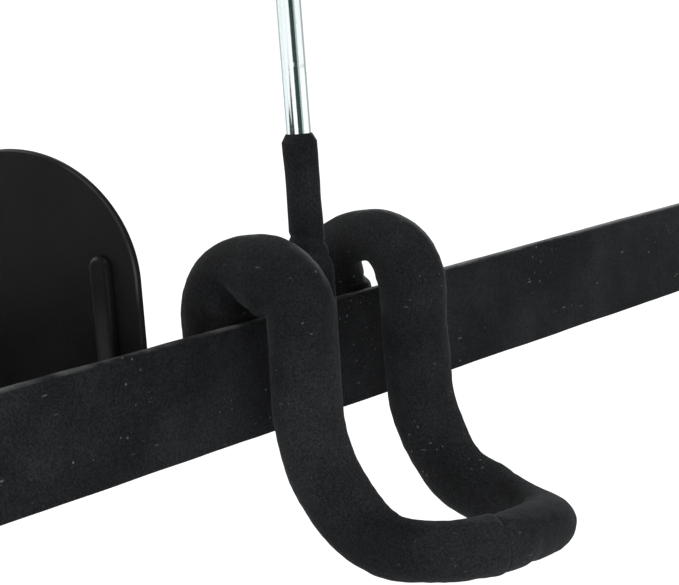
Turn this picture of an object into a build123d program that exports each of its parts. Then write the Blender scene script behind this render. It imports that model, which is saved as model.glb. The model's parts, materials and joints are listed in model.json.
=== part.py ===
"""Hanging saddle rack: a flat front rail with two padded tack loops, three arches behind it
that carry the saddle, and two swivelling hooks.  Millimetres, +Z up, front towards -Y."""
import os
from math import cos, radians, sin, sqrt

from build123d import *

# ---- rails -------------------------------------------------------------------------------
rail_height = 30.0
rail_thick = 3.0
rail_half = rail_thick / 2
front_rail_length = 950.0
rear_rail_length = 356.0
rear_rail_y = 86.5
cap_wall = 1.2
cap_depth = 12.0

# ---- arches ------------------------------------------------------------------------------
arch_positions = {"left": -162.0, "middle": 0.0, "right": 162.0}
arch_thick = 1.8
arch_front = rail_half
arch_back = rear_rail_y - rail_half
arch_centre = (arch_front + arch_back) / 2
arch_half_width = (arch_back - arch_front) / 2
arch_spring = 31.5
arch_rise = 33.0
arch_edge_round = 0.5
flange_length = 18.0
flange_height = 24.0
rib_inset = 11.5
rib_width = 7.0
rib_top = 38.0
rib_bottom = -6.0
rib_raise = 1.8
rib_round = 1.6

# ---- rivets and tie ----------------------------------------------------------------------
rivet_radius = 2.0
rivet_head = 3.4
rivet_sink = 1.3
rivet_dome = 3.8
rivet_offset = 10.5
rivet_spread = 14.0
tie_radius = 6.0
tie_bore = 3.1
tie_z = -5.0
tie_bolt_head = 5.0

# ---- hanging units -----------------------------------------------------------------------
unit_positions = {"left": -225.0, "right": 225.0}
swivel_y = -1.5
foot_radius = 6.6
foot_bottom = 8.0
foot_top = 17.0
neck_radius = 4.6
neck_flare_top = 33.0
neck_top = 61.3
neck_chamfer = 1.0
chamber_radius = 4.8
chamber_top = 22.5
rod_radius = 3.3
running_gap = 0.06
rod_head_radius = 4.4
rod_head_thick = 2.4
rod_straight_top = 118.0
crook_radius = 12.0
hook_radius = 24.0
hook_end_angle = 5.0
tip_radius = 4.2
tip_length_angle = 26.0

# ---- padded tack loops -------------------------------------------------------------------
loop_half_spacing = 24.7
core_radius = 4.0
sleeve_radius = 9.2
sleeve_end_radius = 7.8
sleeve_bore = core_radius + 0.05
front_arm_y = -17.2
rear_leg_y = 11.0
curl_spring = 16.5
curl_radius = 12.2
arm_bottom = -7.5
throat_reach = 26.6
throat_drop = 34.2
bow_radius = 20.9
sleeve_rear_end = 6.5
seam_angle = 67.0
seam_gap_angle = 1.1
socket_top = 6.0
socket_bottom = -14.0
socket_half_width = 8.0
socket_wall = 3.5
core_end = -12.5

os.makedirs("parts", exist_ok=True)
nodes = {}


def box(x0, x1, y0, y1, z0, z1):
    """A plain block given by its six faces."""
    return Pos((x0 + x1) / 2, (y0 + y1) / 2, (z0 + z1) / 2) * Box(x1 - x0, y1 - y0, z1 - z0)


def bar_y(x, z, radius, y0, y1):
    """A round bar running along Y."""
    return Pos(x, (y0 + y1) / 2, z) * Rot(90, 0, 0) * Cylinder(radius, y1 - y0)


def bar_x(y, z, radius, x0, x1):
    """A round bar running along X."""
    return Pos((x0 + x1) / 2, y, z) * Rot(0, 90, 0) * Cylinder(radius, x1 - x0)


def upright(radius, z0, z1):
    """A round bar running along Z, on the swivel axis."""
    return Pos(0, 0, (z0 + z1) / 2) * Cylinder(radius, z1 - z0)


# ---- rivet layout: flange side is +1 or -1 along X ---------------------------------------
flange_side = {"left": 1, "middle": 1, "right": -1}


def rivet_spots():
    """Centres of the rivets, as (x, z)."""
    for name, x in arch_positions.items():
        for level in (-0.5, 0.5):
            yield x + flange_side[name] * rivet_offset, level * rivet_spread


def countersink(x, z, face_y, direction, grow=0.0):
    """Cone of a flush rivet head whose wide end lies on face_y."""
    cone = Cone(rivet_radius + grow, rivet_head + grow, rivet_sink)
    turn = Rot(90, 0, 0) if direction < 0 else Rot(-90, 0, 0)
    return Pos(x, face_y - direction * rivet_sink / 2, z) * turn * cone


# ---- front and rear rails ----------------------------------------------------------------
def rail(length, y, outer_direction):
    """Flat bar with countersunk rivet holes on its outer face."""
    bar = box(-length / 2, length / 2, y - rail_half, y + rail_half, -rail_height / 2, rail_height / 2)
    bar = fillet(bar.edges().filter_by(Axis.X), 0.4)
    for x, z in rivet_spots():
        bar -= bar_y(x, z, rivet_radius + 0.05, y - 3, y + 3)
        bar -= countersink(x, z, y + outer_direction * rail_half, outer_direction, 0.05)
    return bar


def end_cap(side, length, y):
    """Slip-on cap that covers one end of a rail."""
    end = side * length / 2
    inner, outer = end - side * cap_depth, end + side * cap_wall
    x0, x1 = sorted((inner, outer))
    shell = box(x0, x1, y - rail_half - cap_wall, y + rail_half + cap_wall,
                -rail_height / 2 - cap_wall, rail_height / 2 + cap_wall)
    shell = fillet(shell.edges().filter_by(Axis.X), 1.0)
    s0, s1 = sorted((inner - side, end))
    return shell - box(s0, s1, y - rail_half, y + rail_half, -rail_height / 2, rail_height / 2)


nodes["front_rail"] = rail(front_rail_length, 0.0, -1)
nodes["rear_rail"] = rail(rear_rail_length, rear_rail_y, 1)
for name, side in (("left", -1), ("right", 1)):
    nodes[f"front_cap_{name}"] = end_cap(side, front_rail_length, 0.0)
    nodes[f"rear_cap_{name}"] = end_cap(side, rear_rail_length, rear_rail_y)


# ---- arches ------------------------------------------------------------------------------
def arch(name):
    """Pressed plate across the two rails, with ribs, riveting flanges and a tie hole."""
    x = arch_positions[name]
    side = flange_side[name]
    with BuildSketch(Plane.YZ) as outline:
        with Locations((arch_centre, (arch_spring - rail_height / 2) / 2)):
            Rectangle(2 * arch_half_width, arch_spring + rail_height / 2)
        with Locations((arch_centre, arch_spring)):
            Ellipse(arch_half_width, arch_rise)
        with Locations((arch_centre, tie_z)):
            Circle(tie_bore + 0.1, mode=Mode.SUBTRACT)
    plate = extrude(outline.sketch, arch_thick / 2, both=True)
    for end in (0, -1):
        plate = fillet(plate.faces().sort_by(Axis.X)[end].outer_wire().edges(), arch_edge_round)
    with BuildSketch(Plane.YZ) as ribs:
        for y in (arch_front + rib_inset, arch_back - rib_inset):
            with Locations((y, (rib_top + rib_bottom) / 2)):
                SlotOverall(rib_top - rib_bottom, rib_width, rotation=90)
    raised = Pos(-arch_thick / 2, 0, 0) * extrude(ribs.sketch, -rib_raise)
    ridge = raised.edges().group_by(Axis.X)[0]
    plate += fillet(ridge, rib_round)
    part = Pos(x, 0, 0) * plate
    for y0, y1 in ((arch_front, arch_front + arch_thick), (arch_back - arch_thick, arch_back)):
        x0, x1 = sorted((x, x + side * flange_length))
        part += box(x0, x1, y0, y1, -flange_height / 2, flange_height / 2)
        for level in (-0.5, 0.5):
            hole_x, hole_z = x + side * rivet_offset, level * rivet_spread
            part -= bar_y(hole_x, hole_z, rivet_radius + 0.05, y0 - 1, y1 + 1)
    return part


for name in arch_positions:
    nodes[f"arch_{name}"] = arch(name)


# ---- rivets ------------------------------------------------------------------------------
def rivet(x, z, face_y, direction):
    """Flush head in the rail, dome on the flange."""
    inner = face_y - direction * (rail_thick + arch_thick)
    y0, y1 = sorted((inner, face_y))
    body = bar_y(x, z, rivet_radius, y0, y1) + countersink(x, z, face_y, direction)
    dome = Pos(x, inner, z) * Sphere(rivet_dome)
    keep_y0, keep_y1 = sorted((inner, inner - direction * 1.6))
    return body + (dome & box(x - 5, x + 5, keep_y0, keep_y1, z - 5, z + 5))


rivets = []
for x, z in rivet_spots():
    rivets.append(rivet(x, z, -rail_half, -1))
    rivets.append(rivet(x, z, rear_rail_y + rail_half, 1))
nodes["arch_rivets"] = Compound(children=rivets)

# ---- tie tubes between the arches, and the long bolt through them -------------------------
half_plate = arch_thick / 2
tie_ends = {"left": (arch_positions["left"] + half_plate, arch_positions["middle"] - half_plate - rib_raise),
            "right": (arch_positions["middle"] + half_plate, arch_positions["right"] - half_plate - rib_raise)}
for name, (x0, x1) in tie_ends.items():
    x1 += rib_raise
    nodes[f"tie_tube_{name}"] = (bar_x(arch_centre, tie_z, tie_radius, x0, x1)
                                 - bar_x(arch_centre, tie_z, tie_bore, x0 - 1, x1 + 1))
bolt_x = arch_positions["right"] + half_plate
hexagon = Rot(0, 90, 0) * extrude(RegularPolygon(tie_bolt_head, 6), 3.0)
nut = Pos(bolt_x, arch_centre, tie_z) * hexagon - bar_x(arch_centre, tie_z, 2.5, bolt_x - 1, bolt_x + 4)
head = Pos(-bolt_x - 3.0, arch_centre, tie_z) * hexagon
nodes["tie_bolt"] = head + bar_x(arch_centre, tie_z, 2.5, -bolt_x, bolt_x + 4.5)
nodes["tie_nut"] = nut


# ---- hanging unit: foot, neck, hook ------------------------------------------------------
def foot():
    """Forked foot that straddles the rail under the neck."""
    body = chamfer(upright(foot_radius, foot_bottom, foot_top).edges().group_by(Axis.Z)[0], 1.5)
    body = Pos(0, swivel_y, 0) * body
    return body - box(-20, 20, -rail_half, rail_half, 0, rail_height / 2)


def neck():
    """Sleeve with a flared base and the chamber that holds the head of the hook."""
    flare_height = neck_flare_top - chamber_top
    body = upright(foot_radius, foot_top, chamber_top)
    body += Pos(0, 0, chamber_top + flare_height / 2) * Cone(foot_radius, neck_radius, flare_height)
    body += upright(neck_radius, neck_flare_top, neck_top)
    body = chamfer(body.edges().group_by(Axis.Z)[-1], neck_chamfer)
    body -= upright(chamber_radius, foot_top - 1, chamber_top)
    return body - upright(rod_radius + running_gap, foot_top, neck_top + 1)


climb = sqrt((hook_radius + crook_radius) ** 2 - crook_radius ** 2)
hook_centre_z = rod_straight_top + climb
meeting = (-crook_radius + crook_radius * crook_radius / (hook_radius + crook_radius),
           rod_straight_top + climb * crook_radius / (hook_radius + crook_radius))


def on_hook(angle):
    """Point of the hook's big arc in the YZ plane."""
    turn = radians(angle)
    return (hook_radius * cos(turn), hook_centre_z + hook_radius * sin(turn))


def hook_line(z0):
    """Centre line of the hook from height z0."""
    mid = (-crook_radius + crook_radius * cos(radians(35)), rod_straight_top + crook_radius * sin(radians(35)))
    with BuildLine(Plane.YZ) as line:
        Line((0, z0), (0, rod_straight_top))
        ThreePointArc((0, rod_straight_top), mid, meeting)
        ThreePointArc(meeting, on_hook(120), on_hook(hook_end_angle))
    return line.line


def hook():
    """Chrome rod with a retaining head, ending in an open hook."""
    line = hook_line(chamber_top - 1.0)
    start = Plane(origin=(0, 0, chamber_top - 1.0), z_dir=(0, 0, 1))
    body = sweep(start * Circle(rod_radius), path=line)
    head_top = chamber_top - 0.15
    return body + upright(rod_head_radius, head_top - rod_head_thick, head_top)


def hook_tip():
    """Soft cap pushed over the end of the hook."""
    end, start = on_hook(hook_end_angle), on_hook(hook_end_angle + tip_length_angle)
    middle = on_hook(hook_end_angle + tip_length_angle / 2)
    with BuildLine(Plane.YZ) as line:
        ThreePointArc(start, middle, end)
    path = line.line
    face = Plane(origin=path @ 0, z_dir=path % 0)
    cover = sweep(face * Circle(tip_radius), path=path) + Pos(*(path @ 1)) * Sphere(tip_radius)
    bore = sweep(face * Circle(rod_radius), path=path)
    return cover - bore


# ---- padded tack loop --------------------------------------------------------------------
def bow_point(side, angle):
    """Point of the bow on one side: 0 at the end of the throat, 90 at the front."""
    turn = radians(angle)
    return Vector(side * (loop_half_spacing - bow_radius * (1 - cos(turn))),
                  front_arm_y - throat_reach - bow_radius * sin(turn), arm_bottom - throat_drop)


def bow_arc(side, start, end):
    """Arc of the bow between two angles."""
    return ThreePointArc(bow_point(side, start), bow_point(side, (start + end) / 2), bow_point(side, end))


def side_line(side, rear_end):
    """Centre line of one side: rear leg, curl over the rail, front arm, then the throat on its own."""
    x = side * loop_half_spacing
    rear = Vector(x, rear_leg_y, rear_end)
    rear_top = Vector(x, rear_leg_y, curl_spring)
    crown = curl_spring + curl_radius
    crown_rear = Vector(x, rear_leg_y - curl_radius, crown)
    crown_front = Vector(x, front_arm_y + curl_radius, crown)
    arm_top = Vector(x, front_arm_y, curl_spring)
    arm_low = Vector(x, front_arm_y, arm_bottom)
    diagonal = curl_radius * (1 - cos(radians(45)))
    rear_mid = Vector(x, rear_leg_y - diagonal, crown - diagonal)
    front_mid = Vector(x, front_arm_y + diagonal, crown - diagonal)
    upper = [Line(rear, rear_top), ThreePointArc(rear_top, rear_mid, crown_rear),
             Line(crown_rear, crown_front), ThreePointArc(crown_front, front_mid, arm_top),
             Line(arm_top, arm_low)]
    throat_frame = Plane(origin=(x, front_arm_y - throat_reach, arm_bottom), x_dir=(0, 1, 0), z_dir=(-1, 0, 0))
    return upper, Edge.make_ellipse(throat_reach, throat_drop, throat_frame, 0, 90)


def front_bridge():
    """Short straight run across the front of the bow, from right to left."""
    return Line(bow_point(1, 90), bow_point(-1, 90))


def swept_run(edges, radius):
    """Round bar along a chain of edges."""
    face = Plane(origin=edges[0] @ 0, z_dir=edges[0] % 0)
    return sweep(face * Circle(radius), path=Wire(edges))


def loop_core():
    """Bent steel rod, from one rear leg round the bow to the other."""
    left_upper, left_throat = side_line(-1, core_end)
    right_upper, right_throat = side_line(1, core_end)
    bow = [bow_arc(-1, 0, 90), front_bridge(), bow_arc(1, 0, 90)]
    return swept_run(left_upper + [left_throat] + bow + [right_throat] + right_upper, core_radius)


def sleeve(side):
    """Padding over one side of the core; it slims down towards the bow, where the two sleeves meet."""
    upper, throat = side_line(side, sleeve_rear_end)
    if side < 0:
        lower = [bow_arc(-1, 0, seam_angle)]
    else:
        lower = [bow_arc(1, 0, 90), front_bridge(), bow_arc(-1, 90, seam_angle + seam_gap_angle)]
    rings = []
    for step in (0.0, 0.25, 0.5, 0.75, 1.0):
        radius = sleeve_radius + (sleeve_end_radius - sleeve_radius) * step
        rings.append(Plane(origin=throat @ step, z_dir=throat % step) * Circle(radius))
    body = swept_run(upper, sleeve_radius) + loft(rings) + swept_run(lower, sleeve_end_radius)
    return body - swept_run(upper + [throat] + lower, sleeve_bore)


def socket(side):
    """Block on the back of the rail that takes one rear leg of the loop."""
    x = side * loop_half_spacing
    back = rear_leg_y + core_radius + socket_wall
    body = box(x - socket_half_width, x + socket_half_width, rail_half, back, socket_bottom, socket_top)
    body = fillet(body.edges().filter_by(Axis.Z).group_by(Axis.Y)[-1], 4.0)
    bore = Pos(x, rear_leg_y, (socket_bottom + 1 + socket_top + 1) / 2)
    return body - bore * Cylinder(core_radius + running_gap, socket_top - socket_bottom)


for name, x in unit_positions.items():
    place = Pos(x, 0, 0)
    nodes[f"foot_{name}"] = place * foot()
    on_swivel = Pos(x, swivel_y, 0)
    nodes[f"neck_{name}"] = on_swivel * neck()
    nodes[f"hook_{name}"] = on_swivel * hook()
    nodes[f"hook_tip_{name}"] = on_swivel * hook_tip()
    nodes[f"loop_core_{name}"] = place * loop_core()
    for letter, side in (("a", -1), ("b", 1)):
        nodes[f"sleeve_{name}_{letter}"] = place * sleeve(side)
        nodes[f"socket_{name}_{letter}"] = place * socket(side)

for name, shape in nodes.items():
    shape.label = name
    export_step(shape, f"parts/{name}.step")
    print(f"{name:18s} volume {shape.volume / 1000:8.2f} cm3")
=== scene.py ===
import json
from math import cos, pi, radians, sin, sqrt

import bmesh
import bpy
from mathutils import Matrix, Vector, noise


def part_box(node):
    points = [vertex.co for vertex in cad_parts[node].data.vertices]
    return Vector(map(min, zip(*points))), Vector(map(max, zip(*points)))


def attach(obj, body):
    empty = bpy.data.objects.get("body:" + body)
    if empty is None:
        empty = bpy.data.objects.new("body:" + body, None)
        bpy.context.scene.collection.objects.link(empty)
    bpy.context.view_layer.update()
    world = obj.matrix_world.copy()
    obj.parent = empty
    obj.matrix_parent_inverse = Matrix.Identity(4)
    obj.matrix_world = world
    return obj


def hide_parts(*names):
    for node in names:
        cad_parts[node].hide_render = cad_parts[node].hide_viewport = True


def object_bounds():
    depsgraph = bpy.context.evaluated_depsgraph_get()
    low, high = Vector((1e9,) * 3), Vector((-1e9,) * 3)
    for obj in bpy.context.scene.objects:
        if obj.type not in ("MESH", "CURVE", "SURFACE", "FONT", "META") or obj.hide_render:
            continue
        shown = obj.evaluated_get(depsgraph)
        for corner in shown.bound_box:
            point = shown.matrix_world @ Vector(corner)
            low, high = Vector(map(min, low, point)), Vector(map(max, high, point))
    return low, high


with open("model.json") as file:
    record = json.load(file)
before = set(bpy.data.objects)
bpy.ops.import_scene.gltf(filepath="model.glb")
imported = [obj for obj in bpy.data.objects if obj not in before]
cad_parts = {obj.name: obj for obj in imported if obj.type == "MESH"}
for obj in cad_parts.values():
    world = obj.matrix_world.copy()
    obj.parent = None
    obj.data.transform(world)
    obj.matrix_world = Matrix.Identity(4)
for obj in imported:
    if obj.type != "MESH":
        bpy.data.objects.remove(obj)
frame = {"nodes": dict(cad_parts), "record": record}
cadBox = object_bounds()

mm = 0.001
units = ("left", "right")
neckBox = {name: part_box(f"neck_{name}") for name in units}
unitX = {name: (low[0] + high[0]) / 2 for name, (low, high) in neckBox.items()}
swivelY = (neckBox["right"][0][1] + neckBox["right"][1][1]) / 2
back, up, forward = Vector((0, 1, 0)), Vector((0, 0, 1)), Vector((0, -1, 0))
print("frame loaded, hanging units at", [round(x, 4) for x in unitX.values()])


class Value:
    # a number that varies over a surface; arithmetic on it adds Math nodes
    def __init__(self, finish, socket):
        self.finish = finish
        self.socket = socket

    def math(self, operation, first, second):
        return self.finish.add("ShaderNodeMath", {"operation": operation}, {0: first, 1: second})

    def __add__(self, other):
        return self.math("ADD", self, other)

    def __radd__(self, other):
        return self.math("ADD", other, self)

    def __sub__(self, other):
        return self.math("SUBTRACT", self, other)

    def __rsub__(self, other):
        return self.math("SUBTRACT", other, self)

    def __mul__(self, other):
        return self.math("MULTIPLY", self, other)

    def __rmul__(self, other):
        return self.math("MULTIPLY", other, self)


class Finish:
    # one material; fixed values go straight onto the Principled shader
    def __init__(self, name, **fixed):
        self.material = bpy.data.materials.new(name)
        self.material.use_nodes = True
        self.tree = self.material.node_tree
        self.shader = self.tree.nodes["Principled BSDF"]
        for socket, value in fixed.items():
            self.shader.inputs[socket.replace("_", " ")].default_value = value
        self.place = self.add("ShaderNodeTexCoord", {}, {}, "Object")

    def add(self, kind, settings, sockets, output=0):
        node = self.tree.nodes.new(kind)
        for key, value in settings.items():
            setattr(node, key, value)
        for key, value in sockets.items():
            if isinstance(value, Value):
                self.tree.links.new(value.socket, node.inputs[key])
            else:
                node.inputs[key].default_value = value
        return Value(self, node.outputs[output])

    def noise(self, scale, detail=2.0, rough=0.5, stretch=None):
        place = self.place
        if stretch:
            place = self.add("ShaderNodeMapping", {}, {"Vector": place, "Scale": stretch})
        return self.add("ShaderNodeTexNoise", {},
                        {"Vector": place, "Scale": scale, "Detail": detail, "Roughness": rough})

    def cells(self, place, scale):
        # distance to the nearest of many scattered points
        return self.add("ShaderNodeTexVoronoi", {"feature": "F1"},
                        {"Vector": place, "Scale": scale, "Randomness": 1.0}, "Distance")

    def axis(self, index):
        return self.add("ShaderNodeSeparateXYZ", {}, {"Vector": self.place}, index)

    def step(self, value, low, high):
        # 0 below low, 1 above high, smooth between
        return self.add("ShaderNodeMapRange", {"interpolation_type": "SMOOTHSTEP"},
                        {"Value": value, "From Min": low, "From Max": high})

    def blend(self, mask, first, second):
        return self.add("ShaderNodeMix", {"data_type": "RGBA"}, {0: mask, 6: first, 7: second}, 2)

    def feed(self, **links):
        for socket, value in links.items():
            self.tree.links.new(value.socket, self.shader.inputs[socket.replace("_", " ")])

    def bump(self, height, distance, strength=1.0):
        sockets = {"Height": height, "Distance": distance, "Strength": strength}
        self.feed(Normal=self.add("ShaderNodeBump", {}, sockets))


def grey(level, blue=1.0):
    return (level, level * (1 + 0.04 * blue), level * (1 + 0.09 * blue), 1.0)


# for noise: scale, detail, roughness; for a step: where it starts and ends
flock = {
    "dark": 0.0042, "light": 0.0208, "lint": 0.085, "paintedHighlight": 0.075, "highlightDepth": 0.85 * mm,
    "fibre": (3400.0, 3.0, 0.7), "grain": (1650.0, 4.0, 0.7), "nap": (30.0, 5.0, 0.62),
    "napStep": (0.36, 0.68), "pileStep": (0.40, 0.62),
    # the painted highlight along a top edge: its level and depth stand above, its noise, step and gains on
    # this line
    "highlightNoise": (31.0, 4.0, 0.7), "highlightStep": (0.36, 0.62), "highlightBase": 0.3, "highlightGrain": 0.9,
    "lintScale": 330.0, "lintStep": (0.05, 0.15), "lintNoise": (55.0, 3.0), "lintScarce": (0.53, 0.66),
    "hairScale": 95.0 / 0.22, "hairStep": (0.06, 0.14), "hairScarce": (0.56, 0.66), "hairBright": 0.7,
    "hairs": ((0.7, (1.0, 0.22, 1.0)), (2.3, (0.22, 1.0, 1.0))),
    "roughLow": 0.84, "roughGain": 0.14, "bumpHeight": 0.00045, "bumpStrength": 0.8,
    "specular": 0.05, "sheen": 0.045, "sheenRoughness": 0.22, "sheenTint": (0.93, 0.97, 1.0, 1.0),
}


def flockedFinish(name, grain, lint, shade, blue, highlightTop=None):
    # short upright fibres: matt, faintly bright at grazing angles, with brushed patches and lint
    f = Finish(name, Specular_IOR_Level=flock["specular"], Sheen_Weight=flock["sheen"],
               Sheen_Roughness=flock["sheenRoughness"], Sheen_Tint=flock["sheenTint"])
    fibre = f.noise(*flock["fibre"])
    grainMark = f.noise(*flock["grain"])
    brushed = f.step(f.noise(*flock["nap"]), *flock["napStep"])
    pile = f.step(fibre * 0.4 + grainMark * 0.6, *flock["pileStep"])
    depth = pile * 0.48 + brushed * 0.24 + pile * brushed * 0.28
    colour = f.blend(depth, grey(flock["dark"] * shade, blue), grey(flock["light"] * shade, blue))
    # painted highlight: a lighter band along the top edge, broken up by noise, standing in for light caught
    # by the top face
    if highlightTop:
        nearTop = f.step(f.axis(2), highlightTop - flock["highlightDepth"], highlightTop)
        paintedHighlight = nearTop * f.step(f.noise(*flock["highlightNoise"]), *flock["highlightStep"])
        amount = paintedHighlight * (flock["highlightBase"] + flock["highlightGrain"] * grainMark)
        colour = f.blend(amount, colour, grey(flock["paintedHighlight"], 0.4))
    cell = f.cells(f.place, flock["lintScale"])
    scarce = f.step(f.noise(*flock["lintNoise"]), *flock["lintScarce"])
    speck = (1.0 - f.step(cell, *flock["lintStep"])) * scarce
    for turn, thin in flock["hairs"]:
        slanted = f.add("ShaderNodeMapping", {},
                        {"Vector": f.place, "Rotation": (0.9 * turn, turn, 0.4), "Scale": thin})
        hair = 1.0 - f.step(f.cells(slanted, flock["hairScale"]), *flock["hairStep"])
        scarce = f.step(f.noise(47.0 + 9 * turn, 2.0), *flock["hairScarce"])
        speck = speck + hair * scarce * flock["hairBright"]
    f.feed(Base_Color=f.blend(speck * lint, colour, grey(flock["lint"])),
           Roughness=flock["roughLow"] + flock["roughGain"] * pile)
    height = fibre * 0.5 + grainMark * 0.5 + speck * 0.25
    f.bump(height, flock["bumpHeight"] * grain, flock["bumpStrength"])
    return f.material


satin = {
    "level": 0.0028, "rubbedGain": 1.6, "roughness": 0.42, "rubbedRough": 0.12, "specular": 0.055,
    "peel": (1150.0, 2.0, 0.45), "peelHeight": 0.00009, "peelStrength": 0.55,
    "rubbed": (26.0, 4.0, 0.6), "rubbedStep": (0.35, 0.7),
    # rim keys: the painted highlight band round the arch plates' edges; rib keys: the painted highlight
    # streak on the ribs
    "spring": 31.5 * mm, "rimIn": (0.955, 0.982), "rimOut": (0.990, 1.0), "rimHighlightGain": 12,
    "rimNoise": (48.0, 3.0), "rimStep": (0.30, 0.62),
    "ribInset": 11.5 * mm, "ribEdge": (0.6 * mm, 3.4 * mm), "ribFade": (12 * mm, 32 * mm), "ribHighlightGain": 6.6,
    "ribNoise": (520.0, 4.0, 0.7),
}


def satinFinish(name):
    # powder coat with a faint orange peel, rubbed in patches; a painted highlight on the plates' rims and a
    # painted highlight streak on the ribs
    f = Finish(name, Specular_IOR_Level=satin["specular"])
    peel = f.noise(*satin["peel"])
    rubbed = f.step(f.noise(*satin["rubbed"]), *satin["rubbedStep"])
    level = satin["level"]
    colour = f.blend(rubbed, grey(level, 0.2), grey(level * satin["rubbedGain"], 0.2))
    depth, height = f.axis(1), f.axis(2)
    (_, front, _), (_, rear, top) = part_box("arch_right")
    # bands along the two ribs, for the painted highlight streak below
    ribBand = 0.0
    for place in (front + satin["ribInset"], rear - satin["ribInset"]):
        away = f.add("ShaderNodeMath", {"operation": "ABSOLUTE"}, {0: depth - place})
        ribBand = ribBand + (1.0 - f.step(away, *satin["ribEdge"]))
    # painted highlight: a lighter band, broken up by noise, just inside the arch plates' curved top and
    # upright edges
    half, rise = (rear - front) / 2, top - satin["spring"]
    across = (depth - (front + half)) * (1 / half)
    overSpring = {0: height - satin["spring"], 1: 0.0}
    above = f.add("ShaderNodeMath", {"operation": "MAXIMUM"}, overSpring) * (1 / rise)
    reach = across * across + above * above
    rim = f.step(reach, *satin["rimIn"]) * (1.0 - f.step(reach, *satin["rimOut"]))
    rim = rim * f.step(f.noise(*satin["rimNoise"]), *satin["rimStep"])
    colour = f.blend(rim, colour, grey(level * satin["rimHighlightGain"], 0.0))
    # painted highlight streak down the ribs, brightest low down and fading upwards
    paintedHighlight = ribBand * (1.0 - f.step(height, *satin["ribFade"])) * (0.45 + 0.9 * f.noise(*satin["ribNoise"]))
    colour = f.blend(paintedHighlight, colour, grey(level * satin["ribHighlightGain"], 0.0))
    f.feed(Base_Color=colour, Roughness=satin["roughness"] + satin["rubbedRough"] * rubbed - 0.05 * peel)
    f.bump(peel, satin["peelHeight"], satin["peelStrength"])
    return f.material


chrome = {
    "bright": (0.86, 0.92, 0.925, 1.0), "dull": (0.42, 0.46, 0.48, 1.0),
    "hair": (900.0, 3.0, 0.6, (1.0, 1.0, 0.03)),
    "rub": (170.0, 4.0, 0.7), "rubStep": (0.60, 0.72),
    "pit": (620.0, 3.0, 0.6, (1.0, 1.0, 0.45)), "pitStep": (0.66, 0.74),
    "roughness": 0.07, "hairRough": 0.08, "rubRough": 0.22, "bumpHeight": 0.00002, "bumpStrength": 0.4,
}


def chromeFinish(name):
    # bright plating with drawn-out hairlines, a few dull rubs and small pits
    f = Finish(name, Metallic=1.0)
    hair = f.noise(*chrome["hair"])
    rub = f.step(f.noise(*chrome["rub"]), *chrome["rubStep"])
    pit = f.step(f.noise(*chrome["pit"]), *chrome["pitStep"])
    f.feed(Base_Color=f.blend(rub * 0.5 + pit * 0.6, chrome["bright"], chrome["dull"]),
           Roughness=chrome["roughness"] + chrome["hairRough"] * hair + chrome["rubRough"] * rub)
    f.bump(hair + rub * -0.4 + pit * -0.5, chrome["bumpHeight"], chrome["bumpStrength"])
    return f.material


steel = {
    "dark": 0.030, "bright": 0.14, "metallic": 0.75, "roughness": 0.36,
    "scuff": (240.0, 5.0, 0.7), "scuffStep": (0.55, 0.74), "drawn": (1300.0, 2.0, 0.5, (1.0, 1.0, 0.1)),
    "bumpHeight": 0.00004, "bumpStrength": 0.5,
}


def steelFinish(name):
    # blackened steel, scuffed brighter in places
    f = Finish(name, Metallic=steel["metallic"])
    scuff = f.step(f.noise(*steel["scuff"]), *steel["scuffStep"])
    drawn = f.noise(*steel["drawn"])
    f.feed(Base_Color=f.blend(scuff, grey(steel["dark"]), grey(steel["bright"])),
           Roughness=steel["roughness"] + 0.2 * drawn + 0.1 * scuff)
    f.bump(drawn + scuff * -0.5, steel["bumpHeight"], steel["bumpStrength"])
    return f.material


moulded = {"level": 0.006, "cloudGain": 1.5, "specular": 0.16, "bumpHeight": 0.00006, "bumpStrength": 0.6}


def mouldedFinish(name, roughness, grainScale):
    # fine grain of a moulded or dipped skin, slightly cloudy
    f = Finish(name, Specular_IOR_Level=moulded["specular"])
    grainMark = f.noise(grainScale, 3.0, 0.6)
    cloud = f.noise(60.0, 3.0)
    f.feed(Base_Color=f.blend(cloud, grey(moulded["level"], 0.3),
                              grey(moulded["level"] * moulded["cloudGain"], 0.3)),
           Roughness=roughness + 0.14 * grainMark)
    f.bump(grainMark, moulded["bumpHeight"], moulded["bumpStrength"])
    return f.material


# flocked finishes take: grain, lint, shade, blue and the height of a top edge that gets a painted highlight
finishes = {
    "flocked_metal": flockedFinish("flockedBar", 0.8, 1.0, 0.9, 1.9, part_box("front_rail")[1][2]),
    "flocked_foam": flockedFinish("flockedFoam", 1.15, 0.8, 1.0, 1.5),
    "satin_black": satinFinish("satinPlate"),
    "black_steel": steelFinish("blackSteel"),
    "black_plastic": mouldedFinish("mouldedCap", 0.55, 1500.0),
    "vinyl": mouldedFinish("dippedVinyl", 0.3, 500.0),
    "chrome": chromeFinish("brightChrome"),
}
neckFinish = flockedFinish("flockedNeck", 0.8, 0.0, 0.84, 2.8)
slotOf = {part["node"]: part["material_slot"] for part in frame["record"]["subparts"]}
for node, thing in frame["nodes"].items():
    thing.data.materials.clear()
    thing.data.materials.append(finishes[slotOf[node]])
print("finishes made:", len(finishes))


def meshObject(bm, name, material):
    mesh = bpy.data.meshes.new(name)
    bm.to_mesh(mesh)
    bm.free()
    mesh.materials.append(material)
    thing = bpy.data.objects.new(name, mesh)
    bpy.context.scene.collection.objects.link(thing)
    return thing


def newPiece(bm, name, slot, body, *nodes, finish=None):
    # turns a bmesh into a piece that rides on a body and stands for CAD nodes
    bmesh.ops.recalc_face_normals(bm, faces=bm.faces)
    for face in bm.faces:
        face.smooth = True
    piece = meshObject(bm, name, finish or finishes[slot])
    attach(piece, body)
    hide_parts(*nodes)
    return piece


def arcPoints(centre, first, second, turn, count, startTurn=0.0):
    # points on centre + first*cos + second*sin
    angles = [startTurn + (turn - startTurn) * index / count for index in range(count + 1)]
    return [centre + first * cos(angle) + second * sin(angle) for angle in angles]


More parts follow.
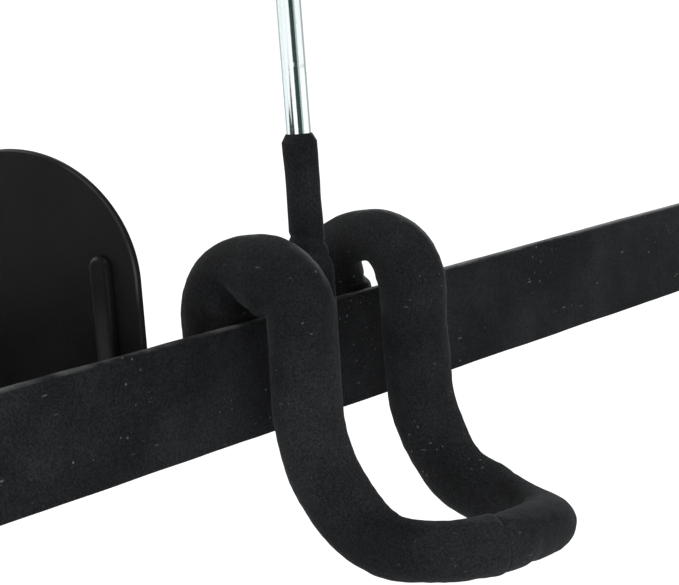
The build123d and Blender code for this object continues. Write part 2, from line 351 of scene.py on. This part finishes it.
def evenly(points, spacing):
    # the same line again, with its points at an even spacing
    reach = [0.0]
    for a, b in zip(points, points[1:]):
        reach.append(reach[-1] + (b - a).length)
    count = max(2, round(reach[-1] / spacing))
    line, index = [], 0
    for step in range(count + 1):
        at = reach[-1] * step / count
        while index < len(points) - 2 and reach[index + 1] < at:
            index += 1
        span = reach[index + 1] - reach[index] or 1.0
        line.append(points[index].lerp(points[index + 1], (at - reach[index]) / span))
    return line


def sweepTube(line, radiusAt, sides):
    # extrudes a circle ring by ring along a line; returns the bmesh, its rings and its length
    bm = bmesh.new()
    ring = bmesh.ops.create_circle(bm, segments=sides, radius=1.0)["verts"]
    edges = list(bm.edges)
    tangents = []
    for index in range(len(line)):
        before, after = line[max(index - 1, 0)], line[min(index + 1, len(line) - 1)]
        tangents.append((after - before).normalized())
    across = tangents[0].orthogonal().normalized()
    total = sum((b - a).length for a, b in zip(line, line[1:]))
    along, placeBefore, rings = 0.0, Matrix.Identity(4), []
    for index, (point, tangent) in enumerate(zip(line, tangents)):
        if index:
            along += (point - line[index - 1]).length
            across = (tangents[index - 1].rotation_difference(tangent) @ across).normalized()
        side = tangent.cross(across)
        radius = radiusAt(along, total)
        turned = Matrix((across, side, tangent)).transposed().to_4x4()
        place = Matrix.Translation(point) @ turned @ Matrix.Diagonal((radius, radius, radius, 1.0))
        if index:
            grown = bmesh.ops.extrude_edge_only(bm, edges=edges)["geom"]
            ring = [part for part in grown if isinstance(part, bmesh.types.BMVert)]
            newVerts = set(ring)
            edges = [part for part in grown if isinstance(part, bmesh.types.BMEdge)]
            edges = [edge for edge in edges if all(vert in newVerts for vert in edge.verts)]
        bmesh.ops.transform(bm, matrix=place @ placeBefore.inverted(), verts=ring)
        placeBefore = place
        bend = tangents[min(index + 1, len(line) - 1)] - tangents[max(index - 1, 0)]
        rings.append((list(ring), point, bend, along))
    bmesh.ops.holes_fill(bm, edges=[edge for edge in bm.edges if edge.is_boundary], sides=sides)
    return bm, rings, total


loopShape = {
    "halfSpacing": 24.7 * mm, "armY": -17.2 * mm, "legY": 11.0 * mm,
    "curlSpring": 16.5 * mm, "curlRadius": 12.2 * mm, "armBottom": -7.5 * mm,
    "throatReach": 26.6 * mm, "throatDrop": 34.2 * mm, "bowRadius": 20.9 * mm,
    "curlSteps": 24, "throatSteps": 40, "bowSteps": 30,
    "sleeveEnd": 6.5 * mm, "radius": 9.15 * mm, "bowSize": {-1: 7.8 * mm, 1: 7.8 * mm * 0.945},
    "slimAfter": 4 * mm, "slimLength": 46 * mm, "seamX": -12.0 * mm, "seamRound": 0.10 * mm,
    "ringSpacing": 0.75 * mm, "sides": 72, "seedStep": 3.7,
    "lump": 0.42 * mm, "lumpScale": 75, "pimple": 0.16 * mm, "pimpleScale": 420,
    "foldDepth": 0.12 * mm, "foldPitch": 4.6 * mm, "foldWander": 2.2, "foldScale": 90,
    "bendGain": 12, "bendFloor": 0.55,
}

# bulges and dents of the two sleeves, by side: place along the sleeve (back from the seam where
# negative), width, how far out (in where negative), all in mm; how narrow round the tube; direction
presses = {
    -1: [
        (19, 1.8, -0.4, 1.5, (1, 0.3, -0.4)),
        (8, 10, 4.2, 1.2, (1.0, -0.3, 0)),
        (22, 11, -2.6, 1.5, (-0.5, -0.5, -0.7)),
        (37, 13, 3.4, 1.0, (0.1, 0.5, -0.85)),
        (26, 14, -0.45, 1.5, (-0.3, 0, 1)),
        (6, 14, 0.4, 1.5, (-0.8, 0.6, 0)),
        (104, 30, 1.5, 1.4, (0.35, -0.62, 0.7)),
        (-6, 2.6, -0.3, 1.5, (0, -0.6, -0.8)),
    ],
    1: [
        (19, 1.8, -0.4, 1.5, (-1, 0.3, -0.4)),
        (8, 7, 3.0, 1.2, (1.0, -0.2, 0)),
        (26, 11, -3.6, 1.4, (0.75, -0.4, -0.5)),
        (25, 12, -0.4, 1.5, (-0.2, 0, 1)),
        (42, 13, 0.4, 1.5, (0.5, -0.5, 0.7)),
        (33, 15, -4.4, 1.6, (-0.1, 0.1, -1)),
        (103, 24, 0.6, 1.2, (-0.46, 0.59, -0.66)),
        (102, 24, 0.9, 1.2, (0.46, -0.55, 0.70)),
        (120, 17, 2.1, 1.3, (0.40, -0.45, 0.80)),
        (128, 11, -1.1, 1.3, (0.40, -0.30, 0.86)),
        (137, 15, -1.7, 1.4, (0.37, -0.1, 0.9)),
        (134, 20, 1.0, 1.2, (0.3, -0.75, -0.6)),
        (150, 12, 0.7, 1.2, (0.45, -0.60, -0.65)),
        (-9, 3.4, -0.5, 1.0, (0, -0.7, -0.7)),
    ],
}


def sideLine(x, side):
    # rear leg, curl over the rail, front arm, throat and bow, up to the middle of the bow
    s = loopShape
    edge = x + side * s["halfSpacing"]
    r, steps = s["curlRadius"], s["curlSteps"]
    points = [Vector((edge, s["legY"], s["sleeveEnd"]))]
    points += arcPoints(Vector((edge, s["legY"] - r, s["curlSpring"])), back * r, up * r, pi / 2, steps)
    points += arcPoints(Vector((edge, s["armY"] + r, s["curlSpring"])), back * r, up * r, pi, steps, pi / 2)
    low = Vector((edge, s["armY"] - s["throatReach"], s["armBottom"]))
    points += arcPoints(low, back * s["throatReach"], -up * s["throatDrop"], pi / 2, s["throatSteps"])
    corner = Vector((edge - side * s["bowRadius"], low.y, s["armBottom"] - s["throatDrop"]))
    outward = Vector((side * s["bowRadius"], 0, 0))
    points += arcPoints(corner, outward, forward * s["bowRadius"], pi / 2, s["bowSteps"])
    return points


def halfLoop(x, side):
    # each sleeve runs to the seam, which sits a little to one side of the middle
    own = sideLine(x, side)
    whole = own + sideLine(x, -side)[::-1]
    seam, bowStart = x + loopShape["seamX"], len(own) - (loopShape["bowSteps"] + 1)
    line = whole[:bowStart]
    for here, there in zip(whole[bowStart:], whole[bowStart + 1:]):
        line.append(here)
        if (here.x - seam) * (there.x - seam) <= 0:
            line.append(here.lerp(there, (seam - here.x) / (there.x - here.x)))
            break
    return line


def padRadius(along, total, bowSize):
    # full size on the curl and arm, slimmer through the throat, rounded off at both ends
    s = loopShape
    legAndCurl = s["curlSpring"] - s["sleeveEnd"] + s["curlRadius"] * pi
    slimStart = legAndCurl + s["curlSpring"] - s["armBottom"] + s["slimAfter"]
    slimming = min(max((along - slimStart) / s["slimLength"], 0.0), 1.0)
    slimming = slimming * slimming * (3 - 2 * slimming)
    radius = s["radius"] + (bowSize - s["radius"]) * slimming
    for gap in (along, total - along):
        if gap < s["seamRound"]:
            radius -= s["seamRound"] - sqrt(max(s["seamRound"] ** 2 - (s["seamRound"] - gap) ** 2, 0.0))
    return radius


def pressFoam(rings, total, seed, side):
    # soft lumps, folds on the inner side of tight bends, and the bulges and dents of the table
    s = loopShape
    placed = [
        (at * mm if at > 0 else total + at * mm, width * mm, depth * mm, focus, Vector(way).normalized())
        for at, width, depth, focus, way in presses[side]
    ]
    for verts, centre, bend, along in rings:
        bendSize = bend.length
        inward = bend.normalized() if bendSize > 1e-6 else Vector((0, 0, 0))
        tight = min(max(bendSize * s["bendGain"] - s["bendFloor"], 0.0), 1.0)
        wander = s["foldWander"] * noise.noise(centre * s["foldScale"] + Vector((seed, 0, 0)))
        fold = 0.5 + 0.5 * sin(2 * pi * along / s["foldPitch"] + wander)
        for vert in verts:
            out = (vert.co - centre).normalized()
            inner = max(out.dot(inward), 0.0)
            push = s["lump"] * noise.noise(vert.co * s["lumpScale"] + Vector((0, seed, 0)))
            push += s["pimple"] * noise.noise(vert.co * s["pimpleScale"])
            push -= s["foldDepth"] * tight * inner ** 2 * fold ** 3
            for at, width, depth, focus, direction in placed:
                reach = max(1 - abs(along - at) / width, 0.0)
                push += depth * max(out.dot(direction), 0.0) ** focus * reach * reach * (3 - 2 * reach)
            vert.co += out * push


for number, name in enumerate(units):
    for letter, side in (("a", -1), ("b", 1)):
        s = loopShape
        line = evenly(halfLoop(unitX[name], side), s["ringSpacing"])
        bm, rings, total = sweepTube(
            line, lambda along, total: padRadius(along, total, s["bowSize"][side]), s["sides"])
        pressFoam(rings, total, s["seedStep"] * number + side, side)
        piece = newPiece(bm, f"padding_{name}_{letter}", "flocked_foam", f"loop_{name}",
                         f"sleeve_{name}_{letter}")
print("padded loops shaped")


hookShape = {
    "rod": 3.3 * mm, "head": 4.4 * mm, "headThick": 2.4 * mm, "headTop": 22.35 * mm,
    "straightTop": 118.0 * mm, "crook": 12.0 * mm, "bight": 24.0 * mm, "endTurn": radians(5.0),
    "crookSteps": 20, "bightSteps": 80, "spacing": 1.2 * mm, "sides": 48,
}
tipShape = {
    "radius": 4.2 * mm, "turn": radians(26.0), "turnSteps": 14, "domeStep": 10,
    "lip": 0.35 * mm, "lipAt": 1.0 * mm, "lipWidth": 1.2 * mm, "mouth": 0.3 * mm, "mouthDepth": 0.2 * mm,
    "point": 0.12 * mm, "spacing": 0.35 * mm, "sides": 40,
}


def hookLine(x):
    # straight rod, small crook to the front, then the open bight
    h = hookShape
    climb = sqrt((h["bight"] + h["crook"]) ** 2 - h["crook"] ** 2)
    middle = Vector((x, swivelY, h["straightTop"] + climb))
    crookCentre = Vector((x, swivelY - h["crook"], h["straightTop"]))
    crookTurn = up.angle(back) - up.angle((middle - crookCentre).normalized())
    rod = [Vector((x, swivelY, h["headTop"] - h["headThick"])), Vector((x, swivelY, h["straightTop"]))]
    crook = arcPoints(crookCentre, back * h["crook"], up * h["crook"], crookTurn, h["crookSteps"])
    start = crookTurn + pi
    bight = arcPoints(middle, back * h["bight"], up * h["bight"], h["endTurn"], h["bightSteps"], start)
    return rod + crook[1:] + bight[1:], middle


def rodRadius(along, total):
    return hookShape["head"] if along < hookShape["headThick"] else hookShape["rod"]


def tipRadius(along, total):
    # a rolled lip round the mouth, an even skin, and a dome at the end
    t = tipShape
    left = total - along
    if left < t["radius"]:
        return max(sqrt(max(t["radius"] ** 2 - (t["radius"] - left) ** 2, 0.0)), t["point"])
    lip = max(1 - abs(along - t["lipAt"]) / t["lipWidth"], 0.0)
    return t["radius"] + t["lip"] * lip - (t["mouth"] if along < t["mouthDepth"] else 0.0)


for name in units:
    h, t = hookShape, tipShape
    points, middle = hookLine(unitX[name])
    bm = sweepTube(evenly(points, h["spacing"]), rodRadius, h["sides"])[0]
    newPiece(bm, f"hook_{name}_bright", "chrome", f"hanger_{name}", f"hook_{name}")
    coverStart = h["endTurn"] + t["turn"]
    cover = arcPoints(middle, back * h["bight"], up * h["bight"], h["endTurn"], t["turnSteps"], coverStart)
    ahead = (cover[-1] - cover[-2]).normalized()
    dome = range(t["domeStep"], 91, t["domeStep"])
    cover += [cover[-1] + ahead * t["radius"] * sin(radians(turn)) for turn in dome]
    bm = sweepTube(evenly(cover, t["spacing"]), tipRadius, t["sides"])[0]
    newPiece(bm, f"tip_{name}_dipped", "vinyl", f"hanger_{name}", f"hook_tip_{name}")
print("hooks bent")


neckShape = {
    "bore": 3.36 * mm, "outer": 4.74 * mm, "chamfer": 1.2 * mm, "chamferHeight": 2.1 * mm, "waist": 0.12 * mm,
    "base": 6.6 * mm, "baseTop": 23.0 * mm, "baseEdge": 0.3 * mm, "flareTop": 35.0 * mm,
    "segments": 64, "steps": 40, "flareSteps": 12,
    "foldTop": 33.0 * mm, "foldGap": 4 * mm, "foldWidths": (1.1 * mm, 1.4 * mm), "foldDepth": 0.5 * mm,
    "foldSlant": 1.6 * mm, "grain": 0.16 * mm, "grainScale": 160, "weld": 0.01 * mm,
}


def neckProfile(bottom, top):
    # radius and height, from the bore's top over the chamfer and down the outside to the bore's foot
    n = neckShape
    rim, straightTop = n["outer"] - n["chamfer"], top - n["chamferHeight"]
    profile = [(n["bore"], top), (rim - 0.1 * mm, top), (rim + 0.1 * mm, top - 0.15 * mm)]
    profile += [(n["outer"] - 0.15 * mm, straightTop + 0.2 * mm), (n["outer"], straightTop - 0.1 * mm)]
    for step in range(1, n["steps"] + 1):
        part = step / n["steps"]
        radius = n["outer"] - n["waist"] * sin(pi * part)
        profile.append((radius, straightTop + (n["flareTop"] - straightTop) * part))
    for step in range(1, n["flareSteps"] + 1):
        part = step / n["flareSteps"]
        radius = n["outer"] + (n["base"] - n["outer"]) * (1 - cos(part * pi)) / 2
        profile.append((radius, n["flareTop"] + (n["baseTop"] - n["flareTop"]) * part))
    foot = [(n["base"], bottom + n["baseEdge"]), (n["base"] - n["baseEdge"], bottom), (n["bore"], bottom)]
    return profile + foot


def wrinkleAt(height):
    # two folds, one below the other
    n = neckShape
    upper, lower = n["foldWidths"]
    below = height - n["foldTop"]
    return max(1 - abs(below) / upper, 0.0) + max(1 - abs(below + n["foldGap"]) / lower, 0.0)


for name in units:
    n = neckShape
    low, high = neckBox[name]
    x = unitX[name]
    bm = bmesh.new()
    verts = [bm.verts.new((x + radius, swivelY, z)) for radius, z in neckProfile(low[2], high[2])]
    for a, b in zip(verts, verts[1:] + verts[:1]):
        bm.edges.new((a, b))
    bmesh.ops.spin(bm, geom=list(bm.verts) + list(bm.edges), cent=(x, swivelY, 0), axis=(0, 0, 1),
                   angle=2 * pi, steps=n["segments"], use_merge=True, use_duplicate=False)
    bmesh.ops.remove_doubles(bm, verts=bm.verts, dist=n["weld"])
    for vert in bm.verts:
        out = Vector((vert.co.x - x, vert.co.y - swivelY, 0))
        if out.length > n["bore"] * 1.15:
            way = out.normalized()
            wrinkle = wrinkleAt(vert.co.z + n["foldSlant"] * way.x)
            rough = n["grain"] * noise.noise(vert.co * n["grainScale"])
            vert.co += way * (rough - n["foldDepth"] * wrinkle)
    newPiece(bm, f"neck_{name}_flocked", "flocked_metal", "rack_frame", f"neck_{name}", finish=neckFinish)
print("necks turned")


railShape = {
    "skin": 0.12 * mm, "sag": 0.35 * mm, "round": 0.7 * mm, "roundSteps": 3, "cutEvery": 6.0 * mm, "rows": 8,
    "wave": 0.16 * mm, "waveScale": 42, "grain": 0.07 * mm, "grainScale": 300, "cutSnap": 0.01 * mm,
}
for which in ("front", "rear"):
    r = railShape
    low, high = (Vector(corner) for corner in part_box(f"{which}_rail"))
    low.z -= r["sag"]
    size = high - low + Vector((0, 2 * r["skin"], 0))
    bm = bmesh.new()
    bmesh.ops.create_cube(bm, size=1.0)
    bmesh.ops.scale(bm, vec=size, verts=bm.verts)
    bmesh.ops.translate(bm, vec=(low + high) / 2, verts=bm.verts)
    bmesh.ops.bevel(bm, geom=list(bm.edges), offset=r["round"], affect="EDGES", segments=r["roundSteps"],
                    profile=0.5, material=-1)
    columns = int(size.x / r["cutEvery"])
    cuts = [((low.x + (high.x - low.x) * i / columns, 0, 0), (1, 0, 0)) for i in range(1, columns)]
    cuts += [((0, 0, low.z + (high.z - low.z) * i / r["rows"]), (0, 0, 1)) for i in range(1, r["rows"])]
    for point, normal in cuts:
        everything = list(bm.verts) + list(bm.edges) + list(bm.faces)
        bmesh.ops.bisect_plane(bm, geom=everything, plane_co=point, plane_no=normal, dist=r["cutSnap"])
    bm.normal_update()
    for vert in bm.verts:
        wave = r["wave"] * noise.noise(vert.co * r["waveScale"])
        vert.co += vert.normal * (wave + r["grain"] * noise.noise(vert.co * r["grainScale"]))
    newPiece(bm, f"bar_{which}_flocked", "flocked_metal", "rack_frame", f"{which}_rail")
print("rails flocked")


stage = {
    "floorDrop": 1.1, "floorSize": 60.0, "floorGlow": 0.2, "skyLight": 1.04,
    "floorColour": (0.92, 0.92, 0.92, 1.0), "white": (1.0, 1.0, 1.0, 1.0),
}
bm = bmesh.new()
bmesh.ops.create_grid(bm, x_segments=2, y_segments=2, size=stage["floorSize"] / 2)
bmesh.ops.translate(bm, verts=bm.verts, vec=(0, 0, cadBox[0][2] - stage["floorDrop"]))
floorFinish = Finish("paleFloor", Base_Color=stage["floorColour"], Roughness=0.9, Specular_IOR_Level=0.1,
                     Emission_Color=stage["white"], Emission_Strength=stage["floorGlow"])
meshObject(bm, "floor", floorFinish.material)

world = bpy.data.worlds.new("studio")
world.use_nodes = True
world.node_tree.nodes["Background"].inputs["Color"].default_value = stage["white"]
world.node_tree.nodes["Background"].inputs["Strength"].default_value = stage["skyLight"]
bpy.context.scene.world = world
bpy.context.scene.view_settings.view_transform = "Standard"

subject = Vector((unitX["right"], 0, 0))

# place from the subject, diameter, power and colour
lamps = {
    "key": ((-0.5, -0.6, 1.2), 0.5, 8.0, (1.0, 0.98, 0.95)),
    "fill": ((-1.0, -0.5, -0.35), 0.6, 5.5, (0.96, 0.98, 1.0)),
    "edge": ((1.15, 0.42, 0.35), 0.3, 16.0, (0.95, 0.98, 1.0)),
    "side": ((-0.35, 1.05, 0.55), 0.4, 9.0, (1.0, 0.99, 0.97)),
}


def areaLight(name, place, size, power, colour):
    lamp = bpy.data.lights.new(name, "AREA")
    lamp.shape = "DISK"
    lamp.size = size
    lamp.energy = power
    lamp.color = colour
    thing = bpy.data.objects.new(name, lamp)
    thing.location = subject + Vector(place)
    thing.rotation_euler = Vector(place).to_track_quat("Z", "Y").to_euler()
    bpy.context.scene.collection.objects.link(thing)


for name, settings in lamps.items():
    areaLight(name, *settings)

# bearing and height angle from the subject, distance, width, height, lift and colour
flags = {
    "coreFlag": (radians(214), 0.0, 1.0, 0.78, 1.9, -0.15, (0.020, 0.032, 0.029, 1.0)),
    "softFlag": (radians(188), 0.0, 1.05, 0.34, 1.9, -0.15, (0.25, 0.28, 0.28, 1.0)),
    "leftFlag": (radians(20), 0.0, 1.3, 1.0, 2.4, 0.2, (0.30, 0.32, 0.33, 1.0)),
    "leftSoftFlag": (radians(-26), 0.0, 1.35, 1.3, 2.4, 0.2, (0.60, 0.62, 0.63, 1.0)),
    "rightFlag": (radians(94), 0.0, 1.3, 1.1, 2.4, 0.2, (0.26, 0.28, 0.29, 1.0)),
    "topFlag": (0.0, radians(90), 1.0, 2.2, 0.9, 0.0, (0.05, 0.06, 0.06, 1.0)),
    "lowFlag": (0.0, radians(-90), 0.9, 2.2, 0.8, 0.0, (0.16, 0.18, 0.18, 1.0)),
}


def darkFlag(name, turn, climb, away, width, height, lift, colour):
    # felt-covered board that only shows in reflections
    bm = bmesh.new()
    bmesh.ops.create_grid(bm, x_segments=1, y_segments=1, size=0.5)
    bmesh.ops.scale(bm, vec=(width, height, 1.0), verts=bm.verts)
    bearing = Vector((sin(turn) * cos(climb), cos(turn) * cos(climb), sin(climb)))
    spot = subject + bearing * away + Vector((0, 0, lift))
    facing = bearing.to_track_quat("Z", "Y").to_matrix().to_4x4()
    bmesh.ops.transform(bm, verts=bm.verts, matrix=Matrix.Translation(spot) @ facing)
    felt = Finish(f"{name}Felt", Base_Color=colour, Roughness=1.0, Specular_IOR_Level=0.0)
    board = meshObject(bm, name, felt.material)
    board.visible_camera = board.visible_diffuse = board.visible_shadow = False


for name, settings in flags.items():
    darkFlag(name, *settings)

mainView = {
    "place": (-0.42028, -0.33545, 0.09800), "yaw": radians(52.336), "pitch": radians(8.491),
    "roll": radians(-4.359), "lens": 107.17, "sensor": 36.0, "clip": (0.01, 100.0),
}


def aimCamera(view):
    yaw, pitch, roll = view["yaw"], view["pitch"], view["roll"]
    ahead = Vector((sin(yaw) * cos(pitch), cos(yaw) * cos(pitch), -sin(pitch)))
    level = Vector((cos(yaw), -sin(yaw), 0))
    above = level.cross(ahead)
    right = level * cos(roll) + above * sin(roll)
    top = above * cos(roll) - level * sin(roll)
    data = bpy.data.cameras.new("view")
    data.lens = view["lens"]
    data.sensor_width = view["sensor"]
    data.sensor_fit = "HORIZONTAL"
    data.clip_start, data.clip_end = view["clip"]
    camera = bpy.data.objects.new("view", data)
    turned = Matrix((right, top, -ahead)).transposed().to_4x4()
    camera.matrix_world = Matrix.Translation(subject + Vector(view["place"])) @ turned
    bpy.context.scene.collection.objects.link(camera)
    bpy.context.scene.camera = camera


aimCamera(mainView)
print("camera and light placed")
